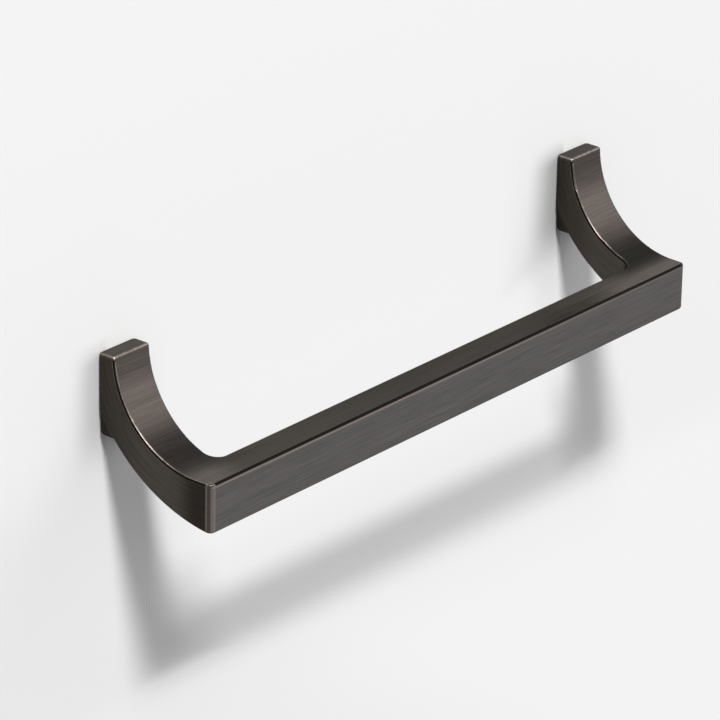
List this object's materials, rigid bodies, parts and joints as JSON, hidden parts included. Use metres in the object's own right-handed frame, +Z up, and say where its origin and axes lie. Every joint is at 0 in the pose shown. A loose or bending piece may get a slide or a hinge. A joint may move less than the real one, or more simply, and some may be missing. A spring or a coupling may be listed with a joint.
{
  "type": "drawer pull",
  "caption": "Rigid cast drawer pull: a straight square-edged bar on legs that sweep up and back in concave curves to flat feet with blind screw holes at the back.",
  "frame": {"origin": "midway between the mouths of the screw holes, on the plane that rests on the drawer front", "axes": "+X along the bar, +Y into the drawer along the screws, +Z up"},
  "size_m": [0.1372, 0.025, 0.0269],
  "materials": {
    "brushed_bronze": "dark oil-rubbed bronze plating, brushed along the bar, rubbed through to copper at the edges"
  },
  "bodies": {
    "root": {"pull": "brushed_bronze"}
  },
  "joints": []
}
